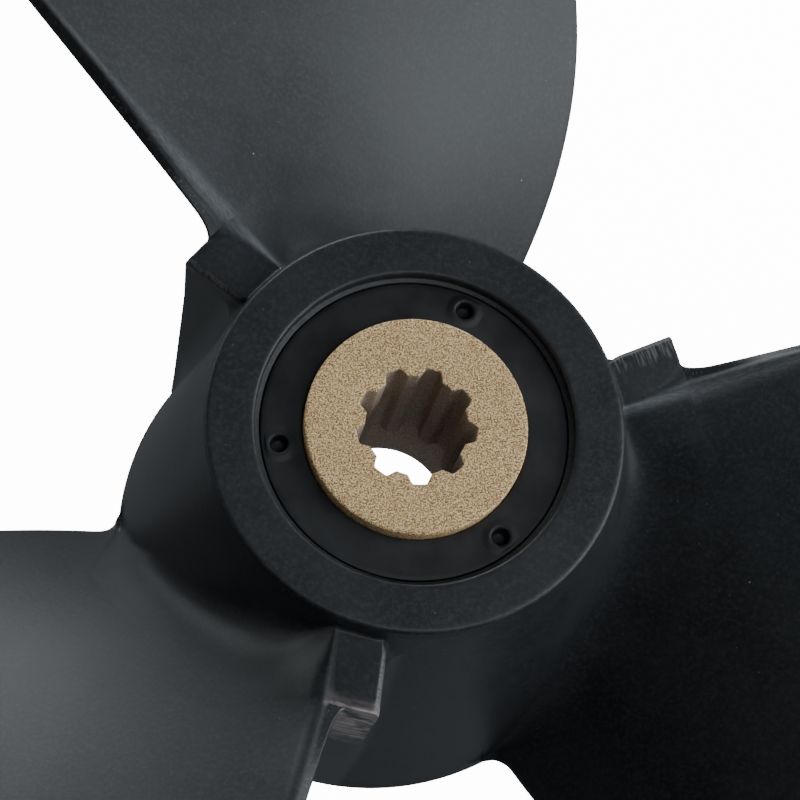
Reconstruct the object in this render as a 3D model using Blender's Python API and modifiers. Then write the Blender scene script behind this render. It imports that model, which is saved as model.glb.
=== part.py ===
"""Three-blade outboard propeller: one casting, a rubber bushing and a splined bronze sleeve.

Metres, +Z up. The shaft's axis is Z and the aft end, where the nut bears, points up.
The origin is the propeller's centre of mass, which lies on the shaft's axis.
Heights below are written from the ring's aft face, LEVEL, and angles of a blade are
written in degrees from the flat end of its root tab, negative towards the leading edge.
"""

import math

import bmesh
import bpy

MM = 0.001

# Height of the ring's aft face over the origin
LEVEL = 16.5 * MM

# Hub
RING_RADIUS = 19.7 * MM
RING_INNER_RADIUS = 15.0 * MM
RING_EDGE = 0.6 * MM
RIM_RADIUS = 26.6 * MM
RIM_EDGE = 0.5 * MM
HUB_LENGTH = 43.5 * MM
HUB_SIDES = 72

# Bore of the hub, and the recess under the ring
BUSH_BORE_RADIUS = 14.5 * MM
RECESS_DEPTH = 1.2 * MM

# Hollow of the forward end
POCKET_MOUTH_RADIUS = 23.2 * MM
POCKET_FLOOR_RADIUS = 20.8 * MM
POCKET_FLOOR_DEPTH = 26.0 * MM
BOSS_RADIUS_TOP = 18.6 * MM
BOSS_RADIUS_END = 18.0 * MM
BOSS_END_DEPTH = 33.0 * MM
RIB_THICKNESS = 2.6 * MM
RIB_END_DEPTH = 32.5 * MM

# Blades
BLADES = 3
TIP_RADIUS = 95.0 * MM
TIP_STOP = 0.4 * MM
PITCH = 198.0 * MM
RAKE = 0.25
TAB_HEIGHT = -1.7 * MM
TRAILING_ANGLE = -9.8
TRAILING_HEIGHT = 0.28 * MM
SHAPE_RADIUS = 37.0 * MM
SHAPE_STEP = 9.26 * MM
LEADING_ANGLE = -81.5
LEADING_TURN = 1.35
LEADING_CURVE = 0.6
OUTLINE_RADIUS = 66.0 * MM
TIP_ANGLE = -34.0
WALL_RADIUS = 26.9 * MM
ROOT_RADIUS = 17.5 * MM
FILL_INNER_RADIUS = 18.3 * MM
FILL_END_DEPTH = 43.1 * MM
FILL_STOP = 0.6
FILL_STEPS = 16
ROOT_THICKNESS = 5.2 * MM
TIP_THICKNESS = 2.0 * MM
TRAILING_THICKNESS = 1.8 * MM
LEADING_THICKNESS = 1.3 * MM
BLADE_MIDDLE_ANGLE = -46.0
CHORD_STEPS = 14
SPAN_STEPS = 12

# Splined sleeve
SLEEVE_RADIUS = 10.45 * MM
SLEEVE_PROUD = 0.3 * MM
SLEEVE_EDGE = 0.25 * MM
SLEEVE_END_DEPTH = 30.8 * MM
SPLINES = 9
SPLINE_MAJOR_RADIUS = 5.65 * MM
SPLINE_MINOR_RADIUS = 4.8 * MM
SPLINE_LENGTH = 17.8 * MM
SPLINE_ANGLE = 26.0
GROOVE_FLOOR = 0.17
GROOVE_MOUTH = 0.34
THROAT_RADIUS = 6.0 * MM
MOUTH_RADIUS = 6.85 * MM
BORE_SIDES = 48

# Rubber bushing
BUSH_END_DEPTH = 29.5 * MM
DIMPLES = 3
DIMPLE_CIRCLE_RADIUS = 12.8 * MM
DIMPLE_ANGLE = -75.0
DIMPLE_RADIUS = 0.8 * MM
DIMPLE_DEPTH = 1.6 * MM
DIMPLE_SIDES = 16

# Gap between pieces that touch on the real propeller
GAP = 0.3 * MM

# How far a cutter reaches past the face that it cuts
OVERRUN = 1.0 * MM


def clear_scene():
    for old in list(bpy.data.objects):
        bpy.data.objects.remove(old, do_unlink=True)


def make_collection(name):
    collection = bpy.data.collections.new(name)
    bpy.context.scene.collection.children.link(collection)
    return collection


def make_material(name, colour, roughness, metallic):
    material = bpy.data.materials.new(name)
    material.use_nodes = True
    shader = material.node_tree.nodes["Principled BSDF"]
    shader.inputs["Base Color"].default_value = (*colour, 1.0)
    shader.inputs["Roughness"].default_value = roughness
    shader.inputs["Metallic"].default_value = metallic
    material.diffuse_color = (*colour, 1.0)
    return material


def link_mesh(name, mesh, collection):
    obj = bpy.data.objects.new(name, mesh)
    collection.objects.link(obj)
    return obj


def turned_piece(name, profile, sides, collection):
    """A profile of (radius, height over the ring's face), turned about the shaft.

    It runs down its outer side, and closes on itself unless it starts and ends on the shaft's axis.
    """
    mesh = bpy.data.meshes.new(name)
    points = [(radius, 0.0, LEVEL + height) for radius, height in profile]
    edges = [(i, i + 1) for i in range(len(points) - 1)]
    if profile[0][0] > 0.0:
        edges.append((len(points) - 1, 0))
    mesh.from_pydata(points, edges, [])
    obj = link_mesh(name, mesh, collection)
    screw = obj.modifiers.new("turn", "SCREW")
    screw.steps = sides
    screw.render_steps = sides
    screw.use_merge_vertices = True
    screw.merge_threshold = 0.00001
    screw.use_smooth_shade = True
    return obj


def cut_or_join(obj, other, operation):
    boolean = obj.modifiers.new(operation.lower(), "BOOLEAN")
    boolean.object = other
    boolean.operation = operation
    boolean.solver = "EXACT"


def mark_as_cutter(obj):
    obj.hide_render = True
    obj.display_type = "WIRE"


def place(radius, degrees, height):
    """A point from its radius, its angle about the shaft and its height over the ring's face."""
    angle = math.radians(degrees)
    return (radius * math.cos(angle), radius * math.sin(angle), LEVEL + height)


def blade_turn(blade):
    """World angle of the flat end of a blade's tab: the middle of the first blade lies on +Y."""
    return 90.0 - BLADE_MIDDLE_ANGLE + blade * 360.0 / BLADES


def loft(name, sections, collection, flat_ends):
    """A closed body through rings of points.

    A flat end is one face. Any other is a strip between the ring's first half and its second.
    """
    mesh = bpy.data.meshes.new(name)
    bm = bmesh.new()
    rings = [[bm.verts.new(point) for point in section] for section in sections]
    count = len(rings[0])
    for near, far in zip(rings, rings[1:]):
        for i in range(count):
            j = (i + 1) % count
            bm.faces.new((near[i], near[j], far[j], far[i]))
    for ring in (rings[0], rings[-1]):
        if flat_ends:
            bm.faces.new(ring)
        else:
            for i in range(count // 2 - 1):
                bm.faces.new((ring[i], ring[i + 1], ring[count - 2 - i], ring[count - 1 - i]))
    bmesh.ops.recalc_face_normals(bm, faces=bm.faces)
    bm.to_mesh(mesh)
    bm.free()
    return link_mesh(name, mesh, collection)


def trailing_height(radius):
    """Height of the blade's middle surface at its trailing edge: outside the hub it rakes aft."""
    return TRAILING_HEIGHT + RAKE * (max(radius, WALL_RADIUS) - SHAPE_RADIUS)


def leading_angle(radius):
    steps = (max(radius, WALL_RADIUS) - SHAPE_RADIUS) / SHAPE_STEP
    return LEADING_ANGLE + LEADING_TURN * steps + LEADING_CURVE * steps ** 2


def outline(radius):
    """The trailing and leading angles of the blade at a radius, closing on the round tip."""
    trailing = TRAILING_ANGLE
    leading = leading_angle(min(radius, OUTLINE_RADIUS))
    if radius > OUTLINE_RADIUS:
        reach = (radius - OUTLINE_RADIUS) / (TIP_RADIUS - OUTLINE_RADIUS)
        fullness = math.sqrt(max(0.0, 1.0 - reach ** 2))
        slope = (LEADING_TURN + 2.0 * LEADING_CURVE * (OUTLINE_RADIUS - SHAPE_RADIUS) / SHAPE_STEP)
        leading += slope * (radius - OUTLINE_RADIUS) / SHAPE_STEP
        trailing = TIP_ANGLE + (trailing - TIP_ANGLE) * fullness
        leading = TIP_ANGLE + (leading - TIP_ANGLE) * fullness
    return trailing, leading


def middle_height(radius, degrees):
    """Height of the blade's middle surface: a screw surface of constant pitch."""
    return trailing_height(radius) + PITCH * (degrees - TRAILING_ANGLE) / 360.0


def blade_section(radius, turn):
    """Section of a blade at one radius: its pressure side from the trailing edge, then its back."""
    trailing, leading = outline(radius)
    slope = math.atan2(PITCH, 2.0 * math.pi * radius)
    span = max(0.0, min(1.0, (radius - WALL_RADIUS) / (TIP_RADIUS - WALL_RADIUS)))
    thickest = ROOT_THICKNESS + (TIP_THICKNESS - ROOT_THICKNESS) * span
    pressure_side = []
    back = []
    for step in range(CHORD_STEPS + 1):
        chord = 0.5 - 0.5 * math.cos(math.pi * step / CHORD_STEPS)
        degrees = trailing + (leading - trailing) * chord
        edge = TRAILING_THICKNESS + (LEADING_THICKNESS - TRAILING_THICKNESS) * chord
        half = 0.5 * (edge + (thickest - edge) * 4.0 * chord * (1.0 - chord))
        height = middle_height(radius, degrees)
        swing = math.degrees(half * math.sin(slope) / radius)
        rise = half * math.cos(slope)
        pressure_side.append(place(radius, turn + degrees - swing, height + rise))
        back.append(place(radius, turn + degrees + swing, height - rise))
    return pressure_side + back[::-1]


def make_blade(turn, collection):
    radii = []
    for step in range(SPAN_STEPS + 1):
        share = math.sin(0.5 * math.pi * step / SPAN_STEPS)
        radii.append(ROOT_RADIUS + (TIP_RADIUS - TIP_STOP - ROOT_RADIUS) * share)
    return loft("blade", [blade_section(radius, turn) for radius in radii], collection, flat_ends=False)


def make_root_fill(turn, collection):
    """What the mould leaves under a blade's root: a wall along the shaft, with the tab at its end."""
    end = leading_angle(WALL_RADIUS) + FILL_STOP
    angles = [0.0, TRAILING_ANGLE / 2.0, TRAILING_ANGLE]
    for step in range(1, FILL_STEPS + 1):
        angles.append(TRAILING_ANGLE + (end - TRAILING_ANGLE) * step / FILL_STEPS)
    sections = []
    for degrees in angles:
        if degrees > TRAILING_ANGLE:
            top = TAB_HEIGHT
        else:
            top = middle_height(WALL_RADIUS, degrees)
        corners = ((FILL_INNER_RADIUS, -FILL_END_DEPTH), (WALL_RADIUS, -FILL_END_DEPTH),
                   (WALL_RADIUS, top), (FILL_INNER_RADIUS, top))
        sections.append([place(radius, turn + degrees, height) for radius, height in corners])
    return loft("root_fill", sections, collection, flat_ends=True)


def make_rib(degrees, collection):
    """One web across the hollow of the forward end."""
    length = POCKET_MOUTH_RADIUS - BOSS_RADIUS_END + 2.0 * OVERRUN
    height = RIB_END_DEPTH - POCKET_FLOOR_DEPTH + 2.0 * OVERRUN
    mesh = bpy.data.meshes.new("rib")
    bm = bmesh.new()
    bmesh.ops.create_cube(bm, size=1.0)
    bmesh.ops.scale(bm, vec=(length, RIB_THICKNESS, height), verts=bm.verts)
    bm.to_mesh(mesh)
    bm.free()
    rib = link_mesh("rib", mesh, collection)
    middle = (POCKET_MOUTH_RADIUS + BOSS_RADIUS_END) / 2.0
    rib.location = place(middle, degrees, height / 2.0 - RIB_END_DEPTH)
    rib.rotation_euler = (0.0, 0.0, math.radians(degrees))
    mark_as_cutter(rib)
    return rib


def make_casting(parts, cutters, material):
    hub_profile = [
        (RING_INNER_RADIUS, 0.0),
        (RING_RADIUS - RING_EDGE, 0.0),
        (RING_RADIUS, -RING_EDGE),
        (RIM_RADIUS, -HUB_LENGTH + RIM_EDGE),
        (RIM_RADIUS - RIM_EDGE, -HUB_LENGTH),
        (BUSH_BORE_RADIUS, -HUB_LENGTH),
        (BUSH_BORE_RADIUS, -RECESS_DEPTH),
    ]
    casting = turned_piece("hub_and_blades", hub_profile, HUB_SIDES, parts)
    for blade in range(BLADES):
        turn = blade_turn(blade)
        for joined in (make_root_fill(turn, cutters), make_blade(turn, cutters)):
            mark_as_cutter(joined)
            cut_or_join(casting, joined, "UNION")
    hollow_profile = [
        (0.0, -BOSS_END_DEPTH),
        (BOSS_RADIUS_END, -BOSS_END_DEPTH),
        (BOSS_RADIUS_TOP, -POCKET_FLOOR_DEPTH),
        (POCKET_FLOOR_RADIUS, -POCKET_FLOOR_DEPTH),
        (POCKET_MOUTH_RADIUS, -HUB_LENGTH - OVERRUN),
        (0.0, -HUB_LENGTH - OVERRUN),
    ]
    hollow = turned_piece("forward_hollow", hollow_profile, HUB_SIDES, cutters)
    mark_as_cutter(hollow)
    # The webs are what the hollow's core leaves standing
    for rib_number in range(BLADES):
        cut_or_join(hollow, make_rib(90.0 + rib_number * 360.0 / BLADES, cutters), "DIFFERENCE")
    cut_or_join(casting, hollow, "DIFFERENCE")
    casting.data.materials.append(material)
    return casting


def make_bushing(parts, cutters, material):
    profile = [
        (SLEEVE_RADIUS + GAP, -RECESS_DEPTH),
        (BUSH_BORE_RADIUS - GAP, -RECESS_DEPTH),
        (BUSH_BORE_RADIUS - GAP, -BUSH_END_DEPTH),
        (SLEEVE_RADIUS + GAP, -BUSH_END_DEPTH),
    ]
    bushing = turned_piece("rubber_bushing", profile, HUB_SIDES, parts)
    for dimple in range(DIMPLES):
        degrees = blade_turn(0) + DIMPLE_ANGLE + dimple * 360.0 / DIMPLES
        bpy.ops.mesh.primitive_cylinder_add(
            vertices=DIMPLE_SIDES, radius=DIMPLE_RADIUS, depth=2.0 * DIMPLE_DEPTH)
        pin = bpy.context.object
        pin.name = "dimple"
        pin.location = place(DIMPLE_CIRCLE_RADIUS, degrees, -RECESS_DEPTH)
        for owner in list(pin.users_collection):
            owner.objects.unlink(pin)
        cutters.objects.link(pin)
        mark_as_cutter(pin)
        cut_or_join(bushing, pin, "DIFFERENCE")
    bushing.data.materials.append(material)
    return bushing


def spline_outline():
    """The bore's outline: grooves with sloping sides, evenly round the shaft."""
    points = []
    tooth = 360.0 / SPLINES
    shape = ((-GROOVE_MOUTH, SPLINE_MINOR_RADIUS), (-GROOVE_FLOOR, SPLINE_MAJOR_RADIUS),
             (GROOVE_FLOOR, SPLINE_MAJOR_RADIUS), (GROOVE_MOUTH, SPLINE_MINOR_RADIUS))
    for groove in range(SPLINES):
        for share, radius in shape:
            points.append((radius, SPLINE_ANGLE + (groove + share) * tooth))
    return points


def make_sleeve(parts, cutters, material):
    profile = [
        (0.0, SLEEVE_PROUD),
        (SLEEVE_RADIUS - SLEEVE_EDGE, SLEEVE_PROUD),
        (SLEEVE_RADIUS, SLEEVE_PROUD - SLEEVE_EDGE),
        (SLEEVE_RADIUS, -SLEEVE_END_DEPTH + SLEEVE_EDGE),
        (SLEEVE_RADIUS - SLEEVE_EDGE, -SLEEVE_END_DEPTH),
        (0.0, -SLEEVE_END_DEPTH),
    ]
    sleeve = turned_piece("splined_sleeve", profile, HUB_SIDES, parts)
    heights = (SLEEVE_PROUD + OVERRUN, -SPLINE_LENGTH - OVERRUN)
    outline_points = spline_outline()
    sections = [[place(radius, degrees, height) for radius, degrees in outline_points] for height in heights]
    splines = loft("spline_bore", sections, cutters, flat_ends=True)
    mark_as_cutter(splines)
    cut_or_join(sleeve, splines, "DIFFERENCE")
    throat_profile = [
        (0.0, -SPLINE_LENGTH),
        (THROAT_RADIUS, -SPLINE_LENGTH),
        (MOUTH_RADIUS, -SLEEVE_END_DEPTH - OVERRUN),
        (0.0, -SLEEVE_END_DEPTH - OVERRUN),
    ]
    throat = turned_piece("plain_bore", throat_profile, BORE_SIDES, cutters)
    mark_as_cutter(throat)
    cut_or_join(sleeve, throat, "DIFFERENCE")
    sleeve.data.materials.append(material)
    return sleeve


def main():
    clear_scene()
    parts = make_collection("outboard_propeller")
    cutters = make_collection("cutters")
    black_paint = make_material("satin_black_paint", (0.022, 0.024, 0.026), 0.45, 0.0)
    rubber = make_material("black_rubber", (0.012, 0.013, 0.014), 0.6, 0.0)
    bronze = make_material("sintered_bronze", (0.47, 0.33, 0.18), 0.55, 0.8)
    make_casting(parts, cutters, black_paint)
    make_bushing(parts, cutters, rubber)
    make_sleeve(parts, cutters, bronze)


main()
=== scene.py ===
"""Looks of a small three-blade outboard propeller, seen obliquely from its aft end.

The frame has the shaft on Z with the aft end up. Shapes are worked out in millimetres and
degrees: heights from the ring's aft face, and angles of a blade from the flat end of its
root tab, negative towards the leading edge. They become metres of the frame in `to_frame`.
"""
import math

import bmesh
import bpy
import numpy as np
from mathutils import Matrix, Vector


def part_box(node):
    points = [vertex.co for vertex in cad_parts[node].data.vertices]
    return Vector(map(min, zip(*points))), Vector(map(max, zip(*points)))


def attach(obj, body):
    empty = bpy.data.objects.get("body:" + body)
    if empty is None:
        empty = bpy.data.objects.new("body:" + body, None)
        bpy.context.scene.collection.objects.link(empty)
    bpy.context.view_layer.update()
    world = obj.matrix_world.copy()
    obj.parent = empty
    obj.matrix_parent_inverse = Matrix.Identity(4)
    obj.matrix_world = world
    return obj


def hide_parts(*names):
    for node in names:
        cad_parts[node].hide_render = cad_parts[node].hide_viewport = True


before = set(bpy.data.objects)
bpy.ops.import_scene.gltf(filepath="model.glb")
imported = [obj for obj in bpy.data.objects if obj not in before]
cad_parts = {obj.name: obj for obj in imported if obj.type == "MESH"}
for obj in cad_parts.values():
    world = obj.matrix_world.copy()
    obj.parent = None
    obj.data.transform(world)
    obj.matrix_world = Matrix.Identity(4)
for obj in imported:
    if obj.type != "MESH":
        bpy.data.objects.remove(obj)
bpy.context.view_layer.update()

MM = 0.001
THIRDS = 3
SECTOR = 360.0 / THIRDS
# Points closer than this are joined, in millimetres
SEAM_MERGE = 0.004

# Hub, in millimetres
RING_RADIUS = 19.7
RING_INNER_RADIUS = 15.0
RING_INNER_EDGE = 0.35
RING_OUTER_EDGE = 0.5
RING_FACE_RADII = (15.7, 16.4, 17.8, 18.8, 19.1)
RING_SIDE_TOP = -0.6
RING_INNER_SIDE = -0.75
RIM_RADIUS = 26.7
RIM_ROUND = 1.0
RIM_FACE_RADIUS = 24.9
HUB_LENGTH = 43.5
BUSH_BORE_RADIUS = 14.5
RECESS_DEPTH = 1.2
POCKET_MOUTH_RADIUS = 23.1
POCKET_FLOOR_RADIUS = 20.8
POCKET_DEPTH = 26.0
POCKET_FLOOR_ROUND = 0.8
# Distance inside the mouth and height over the rim of the pocket's own edge
POCKET_EDGE = ((0.8, 0.0), (0.5, 0.0), (0.12, 0.12), (0.0, 0.5))
BOSS_RADIUS_TOP = 18.6
BOSS_RADIUS_END = 18.0
BOSS_DEPTH = 33.0
BOSS_EDGE = 0.3
BOSS_FACE_RADIUS = 16.2
BORE_EDGE = 0.4
RECESS_EDGE = 0.12
WEB_DEPTH = 32.5
WEB_ANGLE = -46.0
WEB_HALF_WIDTH = 3.6
WEB_FLANK = 1.2

# Blades
TIP_RADIUS = 94.6
PITCH = 198.0
RAKE = 0.25
WALL_RADIUS = 26.85
OUTLINE_RADIUS = 66.0
TIP_ANGLE = -34.0
TRAILING_ANGLE = -9.85
TRAILING_HEIGHT = 1.1
SHAPE_RADIUS = 37.0
SHAPE_STEP = 9.26
LEADING_ANGLE = -81.2
LEADING_TURN = 1.35
LEADING_CURVE = 0.6
LEADING_FLARE = 0.8
LEADING_OVERHANG = 0.3
ROOT_THICKNESS = 5.2
TIP_THICKNESS = 2.6
THICKENING = 20.0
TRAILING_EDGE = 2.8
TRAILING_THINNING = 0.62
LEADING_EDGE = 1.3
TRAILING_CORNER = 1.05
OUTER_CORNER = 0.35
FORWARD_CORNER = 0.4
LEADING_CORNER = 0.5
# Radii between which the trailing corner sharpens, and the most of the half thickness a corner takes
CORNER_RADII = (30.0, 48.0)
CORNER_LIMIT = 0.85
FILLET = 4.4
FILLET_REACH = 9.0
LEADING_ROOT_FILLET = 2.2
TIP_DROP_RADIUS = 55.0
TIP_DROP = 0.0012
FIRST_BLADE_ANGLE = 136.0
# Powers that crowd the edge's steps towards the roots
TRAILING_CROWDING = 1.7
LEADING_CROWDING = 1.3
# Distance over which rows let go of the edge's flare, and distances from the wall between which
# rows stop running round the hub
FLARE_FADE = 1.6
ROUND_HUB = (4.0, 20.0)
# Heights between which the wall under a blade thins to the rim's
WALL_FADE = (-2.0, -12.0)

# Tab at a blade's root
TAB_HEIGHT = -1.9
TAB_CHAMFER = 0.5
TAB_END_RADIUS = 27.0
TAB_FOOT_FILLET = 2.2
# Drop under the chamfer over which that fillet grows, and its most of the way out to the wall
FOOT_FILLET_DROP = 2.6
FOOT_SHARE = 0.85
TAB_FILLET = 0.45
# Angles from which the tab flares and turns back towards its end, and that turn's reach from the
# ring in millimetres and its size in degrees
TAB_FLARE_ANGLE = -2.2
TAB_END_ANGLE = -4.0
TAB_END_REACH = 1.6
TAB_END_SWING = 1.6
# Shares of the way between the foot fillet's last column and the tab's first
END_FACE_SHARES = (0.35, 0.7)
NOTCH_ANGLE = -6.2
NOTCH_RADIUS = 2.8
NOTCH_WIDTH = 4.0
NOTCH_DROP = 0.3
ROOT_SINK = 0.8
ROOT_SINK_REACH = 7.0
ROOT_SINK_WIDTH = 7.0
NOSE_FOOT_ANGLE = -8.4
NOSE_SWING = -4.2
NOSE_SINK = 0.03
NOSE_SINK_CURVE = 1.25
RIDGE_CURVE = 2.6
# Distance in from the wall over which the nose takes the ridge's angle
RIDGE_REACH = 2.0
# The highest that the hub's floor beside a blade comes
FLOOR_TOP = -1.0
ROOT_FILLET = 5.0
# Turn from the trailing root over which the hub under a blade changes, in degrees
LEAST_TURN = 0.1
HOLLOW_FADE = 3.0
TAB_FADE = 5.5
TAB_FADE_CURVE = 1.5
SWING_FADE = 12.0
ROOT_FILLET_TURN = 22.0
LATE_TURN = 40.0
LATE_POWER = 5.0
# Turns before the leading root between which the wall gives way to the cone
WALL_TURN = (0.5, 5.5)
# Turn of the gap over which the rows of one blade pass to those of the next, and their heights
GAP_TURN = 35.0
GAP_JOIN_NEAR = -4.6
GAP_JOIN_FAR = -41.6
GAP_ANGLES = (19.0, 16.5, 14.0, 11.5, 9.4, 8.0)
FAR_GAP_ANGLE = -101.0
FAR_GAP_DISTANCE = 7.5
SWELL_REACH = 2.5
# Distances of the gap's columns from the tab's end face, and from the last column of the blade
FOOT_DISTANCES = (2.4, 2.0, 1.6, 1.25, 0.9, 0.6, 0.35, 0.15, 0.04, 0.0)
FAR_DISTANCES = (0.2, 0.5, 0.9, 1.4, 1.9, 2.5, 3.3, 4.4, 5.6)
# Angles of the tab's columns and how far each lies under its top
TAB_COLUMNS = ((-0.06, 0.42), (-0.5, 0.24), (-1.0, 0.04), (-1.15, 0.01), (-1.5, 0.0), (-2.8, 0.0),
               (-4.0, 0.0), (-5.2, 0.0))
TAB_EDGE = 0.35
ROW_STEP = 0.15
GAP_ROW_STEP = 0.12
# Shares of the room that fillets take at most, the distance they keep from a row's end, and the
# least room they are given
SIDE_SHARE = 0.9
FILLET_SHARE = 0.92
END_MARGIN = 0.4
LEAST_ROOM = 0.02

# Sleeve and bushing
SLEEVE_RADIUS = 10.45
SLEEVE_PROUD = 0.3
SLEEVE_DEPTH = 30.8
SLEEVE_EDGE = 0.25
MOUTH_EDGE = 0.16
SPLINES = 9
SPLINE_MAJOR_RADIUS = 5.65
SPLINE_MINOR_RADIUS = 4.8
SPLINE_LENGTH = 17.8
SPLINE_ANGLE = 26.0
GROOVE_FLOOR = 0.17
GROOVE_MOUTH = 0.34
GROOVE_SOFTNESS = 0.3
THROAT_RADIUS = 6.0
THROAT_OIL = 0.7
MOUTH_RADIUS = 6.85
BUSHING_DEPTH = 29.5
DIMPLES = 3
DIMPLE_CIRCLE_RADIUS = 12.8
DIMPLE_ANGLE = 61.0
DIMPLE_RADIUS = 0.8

# The ring's aft face, read from the frame
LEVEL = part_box("splined_sleeve")[1].z / MM - SLEEVE_PROUD


def between(value, start, end):
    """How far a value is on its way from start to end, from 0 to 1."""
    return min(max((value - start) / (end - start), 0.0), 1.0)


def eased(value, start, end):
    """The same, slower at both ends."""
    share = between(value, start, end)
    return share * share * (3.0 - 2.0 * share)


def mix(low, high, share):
    return low + (high - low) * share


def line(start, end, steps):
    """Points on the way from start to end, without the start."""
    shares = [step / steps for step in range(1, steps + 1)]
    return [tuple(mix(a, b, share) for a, b in zip(start, end)) for share in shares]


def bend(start, corner, end, steps):
    """Points of a soft corner, without the start."""
    shares = [step / steps for step in range(1, steps + 1)]
    return [tuple(mix(mix(a, b, share), mix(b, c, share), share) for a, b, c in zip(start, corner, end))
            for share in shares]


def turned(shares):
    """Sine and cosine at shares of a quarter turn."""
    return [(math.sin(0.5 * math.pi * share), math.cos(0.5 * math.pi * share)) for share in shares]


def quarter(steps, first=1):
    """Sine and cosine of the steps of a quarter turn."""
    return turned([step / steps for step in range(first, steps + 1)])


def to_frame(radius, degrees, height):
    """Millimetres and degrees of the first third to a point of the frame, in metres."""
    angle = math.radians(FIRST_BLADE_ANGLE + degrees)
    return Vector((radius * math.cos(angle), radius * math.sin(angle), LEVEL + height)) * MM


def cone_radius(height):
    return RING_RADIUS - (RIM_RADIUS - RING_RADIUS) * height / HUB_LENGTH


def wall_radius(height, top=WALL_RADIUS):
    """The hub's wall under a blade: a radius at its top that thins to the rim's."""
    return mix(top, RIM_RADIUS, eased(height, *WALL_FADE))


def leading_angle(radius):
    steps = (radius - SHAPE_RADIUS) / SHAPE_STEP
    return LEADING_ANGLE + LEADING_TURN * steps + LEADING_CURVE * steps ** 2


def middle_height(radius, degrees):
    """A screw surface of constant pitch, raked aft, and a little less so towards the tip."""
    drop = TIP_DROP * max(radius - TIP_DROP_RADIUS, 0.0) ** 2
    screw = PITCH * (degrees - TRAILING_ANGLE) / 360.0
    return TRAILING_HEIGHT + RAKE * (radius - SHAPE_RADIUS) + screw - drop


def close_columns(bm, columns, hole=((), ())):
    """Faces between columns of vertices that each run once round a section, but none in the hole."""
    for number, (near, far) in enumerate(zip(columns, columns[1:])):
        for i in range(len(near)):
            if number in hole[0] and i in hole[1]:
                continue
            j = (i + 1) % len(near)
            bm.faces.new((near[i], near[j], far[j], far[i]))


def finish_mesh(bm, name):
    """The mesh as data, with its faces outwards."""
    bmesh.ops.recalc_face_normals(bm, faces=bm.faces)
    mesh = bpy.data.meshes.new(name)
    bm.to_mesh(mesh)
    bm.free()
    return mesh


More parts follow.
